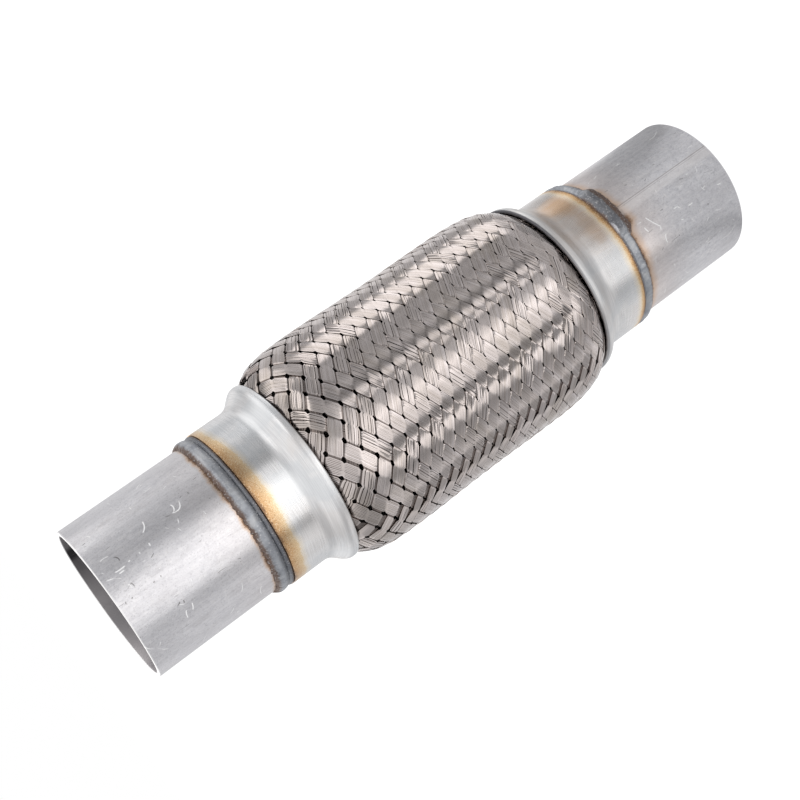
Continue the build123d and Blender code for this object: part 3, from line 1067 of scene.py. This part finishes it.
def wirePath(strand, lean, offset, shift, raised, tilts):
    # One wire: its points, whether it rides over (1) or under (-1) the other hand, and its tilt
    firstDive = 1.0 + lean / 2
    dives = np.arange(firstDive - 4, ringSteps + 4, 2)
    grid = (dives[:, None] + np.array(braid["grid"])).ravel()
    grid = grid[(grid > -braid["tuck"]) & (grid < ringSteps + braid["tuck"])]
    phase = tau * (lean * (grid - 2 * strand - 1) - 0.5) / 4
    over = lean * np.sign(np.sin(phase))
    toEnd = np.minimum(grid, ringSteps - grid).clip(0)
    spread = acrossStrand(grid, firstDive, toEnd, strand, lean, offset, shift)
    # The dives lie on the slanted edges of the strands crossed, so each wire dives a little later
    step = grid
    for _ in range(2):
        middle = ringHeight(step)
        rise = (ringHeight(step - 0.25) - ringHeight(step + 0.25)) * 2
        columnWidth = np.radians(180 / braid["strands"]) * barrelRadius(middle)
        rest = spread * np.sqrt(1 + (rise / columnWidth) ** 2)
        height, column = middle + rest, lean * (step - 2 * strand - 1)
        step = grid + rest / rise / 2
    bowed = braid["bow"] * (1 - np.sin(pi * ((grid - firstDive) % 2) / 2))
    radius = barrelRadius(height) - braid["depth"] + (braid["lift"] - bowed) * over
    radius += min(raised, braid["highest"]) - braid["crown"] * (offset / halfStrand) ** 2
    rowAngle = braid["rowAngle"] + braid["twistPerMm"] * (totalHeight - height - braid["twistFrom"])
    angle = np.radians(rowAngle + (column - 1.5) * 180 / braid["strands"])
    points = np.stack((radius * np.cos(angle), radius * np.sin(angle), height), 1)
    tilt = braid["floatTilt"]
    largest = tilt["middle"] + (tilt["ends"] - tilt["middle"]) * np.exp(-toEnd / tilt["steps"])
    turned = np.radians(largest * tilts[((grid - firstDive) // 2).astype(int)])
    return points * mm, over, turned + flatTurn(points, angle, height)


def makeWireTree():
    tree = bpy.data.node_groups.new("drawWires", "GeometryNodeTree")
    asked = {
        "Paths": "Geometry", "Wire Width": "Float", "Wire Thickness": "Float", "Wander": "Float",
        "Wander Size": "Float", "Roll": "Float", "Seed": "Int", "Finish": "Material",
    }
    for name, kind in asked.items():
        tree.interface.new_socket(name, in_out="INPUT", socket_type="NodeSocket" + kind)
    tree.interface.new_socket("Wires", in_out="OUTPUT", socket_type="NodeSocketGeometry")
    given = addNode(tree, "NodeGroupInput").outputs

    def named(name):
        node = addNode(tree, "GeometryNodeInputNamedAttribute", {"Name": name}, data_type="FLOAT")
        return node.outputs["Attribute"]

    # Each wire drifts a little by a noise of its own
    place = addNode(tree, "GeometryNodeInputPosition")
    layer = mixed(tree, given["Seed"], (named("wire"), 3.17))
    sockets = {"Vector": place.outputs[0], "W": layer, "Scale": given["Wander Size"], "Detail": 1.0}
    drift = addNode(tree, "ShaderNodeTexNoise", sockets, noise_dimensions="4D")
    sockets = {0: drift.outputs["Color"], 1: (0.5, 0.5, 0.5)}
    centred = addNode(tree, "ShaderNodeVectorMath", sockets, operation="SUBTRACT")
    sockets = {0: centred.outputs[0], "Scale": given["Wander"]}
    moved = addNode(tree, "ShaderNodeVectorMath", sockets, operation="SCALE")
    # Its flat side follows the barrel, with a roll that loose strands have more of
    rolling = times(tree, minus(tree, drift.outputs["Fac"], 0.5), given["Roll"])
    turning = mixed(tree, named("turned"), (rolling, named("slack")))
    sockets = {"Width": given["Wire Thickness"], "Height": given["Wire Width"]}
    section = addNode(tree, "GeometryNodeCurvePrimitiveQuadrilateral", sockets, mode="RECTANGLE")
    heading = addNode(tree, "GeometryNodeInputTangent")
    along = {"Name": "along", "Value": heading.outputs[0]}
    steps = (
        ("MeshToCurve", {}, {}),
        ("SetPosition", {"Offset": moved.outputs[0]}, {}),
        ("SetCurveNormal", {}, {"mode": "Z_UP"}),
        ("SetCurveTilt", {"Tilt": turning}, {}),
        ("StoreNamedAttribute", along, {"data_type": "FLOAT_VECTOR", "domain": "POINT"}),
        ("CurveToMesh", {"Profile Curve": section.outputs["Curve"], "Fill Caps": True}, {}),
        ("SetShadeSmooth", {"Shade Smooth": True}, {}),
        ("RealizeInstances", {}, {}),
        ("SetMaterial", {"Material": given["Finish"]}, {}),
    )
    wires = given["Paths"]
    for kind, sockets, settings in steps:
        wires = addNode(tree, "GeometryNode" + kind, {0: wires} | sockets, **settings).outputs[0]
    addNode(tree, "NodeGroupOutput", {0: wires})
    return tree


def makeBraidSteel():
    material, tree = newMaterial("braidWireSteel")
    given = [addNode(tree, "ShaderNodeAttribute", attribute_name=name) for name in ("tint", "over", "along")]
    tint, over, along = given[0].outputs["Fac"], given[1].outputs["Fac"], given[2].outputs["Vector"]
    noises = makeNoises(tree, braid["noises"])
    darker, lighter = (shaded(braid["colour"], *braid[name]) for name in ("dark", "light"))
    colour = blendColour(tree, tint, darker, lighter)
    # Patina, and painted shade darkening the wires where they pass under the crossings
    colour = blotched(tree, colour, noises | {"over": over}, braid["blotches"])
    # Drawn wire mirrors along its length and spreads light across it
    look = {"Tangent": along, "Anisotropic": braid["grainAcross"], "Anisotropic Rotation": 0.25}
    return finishSteel(material, colour, noises, braid, braid["gloss"], look)


def drawPaths(name, strands, lean, random, firstNumber):
    # The middle lines of all wires of some strands, as loose edges with what each wire needs to know
    points, edges = [], []
    known = {"wire": [], "tint": [], "over": [], "slack": [], "turned": []}
    number = firstNumber
    for strand in strands:
        shift = random.normal(0, braid["strandShift"])
        strandTint = random.normal(0.5, braid["strandTint"])
        weave = braid["loose" if random.random() < braid["looseShare"][lean] else "tight"]
        tilts = random.normal(0, 1, ringSteps)
        for wire in range(braid["wires"]):
            offset = wire * braid["wireSpacing"] - halfStrand + random.normal(0, weave["across"])
            raised = random.normal(0, weave["rise"])
            path, over, turned = wirePath(strand, lean, offset, shift, raised, tilts)
            first = len(points)
            points.extend(path.tolist())
            edges.extend((first + n, first + n + 1) for n in range(len(path) - 1))
            tint = min(max(strandTint + random.normal(0, braid["tintSpread"]), 0.0), 1.0)
            for key, value in (("wire", number), ("tint", tint), ("slack", weave["roll"])):
                known[key].extend([value] * len(path))
            known["over"].extend(over.tolist())
            known["turned"].extend(turned.tolist())
            number += 1
    mesh = bpy.data.meshes.new(name + "Paths")
    mesh.from_pydata(points, edges, [])
    for attribute, values in known.items():
        mesh.attributes.new(attribute, "FLOAT", "POINT").data.foreach_set("value", values)
    return addObject(name + "Paths", mesh), number


def makeBraid():
    random = np.random.default_rng(braid["seed"])
    tree, finish = makeWireTree(), makeBraidSteel()
    inputs = {item.name: item.identifier for item in tree.interface.items_tree if item.in_out == "INPUT"}
    settings = {
        "Wire Width": braid["wireWidth"] * mm, "Wire Thickness": braid["wireThickness"] * mm,
        "Wander": braid["wander"] * mm, "Wander Size": braid["wanderSize"], "Roll": braid["roll"],
        "Seed": braid["seed"], "Finish": finish,
    }
    halfCount = braid["strands"] // 2
    number = 0
    for lean, handName in ((1, "Right"), (-1, "Left")):
        for half, halfName in enumerate(("Lower", "Upper")):
            name = "braidWires" + handName + halfName
            strands = range(half * halfCount, (half + 1) * halfCount)
            paths, number = drawPaths(name, strands, lean, random, number)
            modifier = paths.modifiers.new("drawWires", "NODES")
            modifier.node_group = tree
            for given, value in settings.items():
                modifier[inputs[given]] = value
            depsgraph = bpy.context.evaluated_depsgraph_get()
            made = bpy.data.meshes.new_from_object(paths.evaluated_get(depsgraph))
            bpy.data.objects.remove(paths)
            made.name = name
            made.set_sharp_from_angle(angle=radians(braid["hardAngle"]))
            piece = addObject(name, made)
            settle(piece, "outer_braid")
            print(name, len(made.polygons), "faces")


# Pieces inside, which keep their CAD shape

inner = {
    # The bellows' steel is near black: painted shade for the dark inside the braid
    "bellows": {"dark": (0.05, 0.045, 0.04, 1), "light": (0.09, 0.08, 0.075, 1), "gloss": 0.5},
    "liner": {
        "dark": (0.1, 0.095, 0.09, 1), "light": (0.4, 0.385, 0.36, 1), "gloss": 0.42,
        "wires": 96, "wiresPerMm": 3.0, "relief": {"weave": 1.0}, "reliefDepth": (0.6, 0.0003),
    },
    "ring": {"dark": (0.48, 0.47, 0.46, 1), "light": (0.58, 0.57, 0.56, 1), "gloss": 0.3},
    "streaks": ((0.05, 0.05, 1), 2600.0, 3.0, 0.6),
}


def makeInnerSteel(kind):
    values = inner[kind]
    material, tree = newMaterial(kind + "Steel")
    if kind == "liner":
        height, _, angle = objectPlace(tree)
        turn = times(tree, angle, radians(values["wires"]))
        pitch = values["wiresPerMm"]
        lines = [calc(tree, "SINE", mixed(tree, turn, (height, lean * pitch))) for lean in (1.0, -1.0)]
        parts = {"weave": calc(tree, "MAXIMUM", *lines)}
        share = remap(tree, parts["weave"], -0.4, 0.9)
    else:
        parts, share = {}, stretchedNoise(tree, *inner["streaks"])
    colour = blendColour(tree, share, values["dark"], values["light"])
    return finishSteel(material, colour, parts, values, values["gloss"])


def dressInside():
    bellows, liner, ring = (makeInnerSteel(kind) for kind in ("bellows", "liner", "ring"))
    dressed = {"bellows": bellows, "inner_braid": liner, "inlet_inner_ring": ring, "outlet_inner_ring": ring}
    for node, material in dressed.items():
        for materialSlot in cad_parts[node].material_slots:
            materialSlot.material = material


makeCamera()
makeWorld()
makeFloor()
makeLamps()
print("camera and studio ready")
for end in ("outlet", "inlet"):
    makePipe(end)
    makeCollar(end)
    makeWeld(end)
print("pipes, collars and welds spun")
makeBraid()
dressInside()
bpy.context.scene.view_settings.view_transform = "Standard"
print("scene finished")
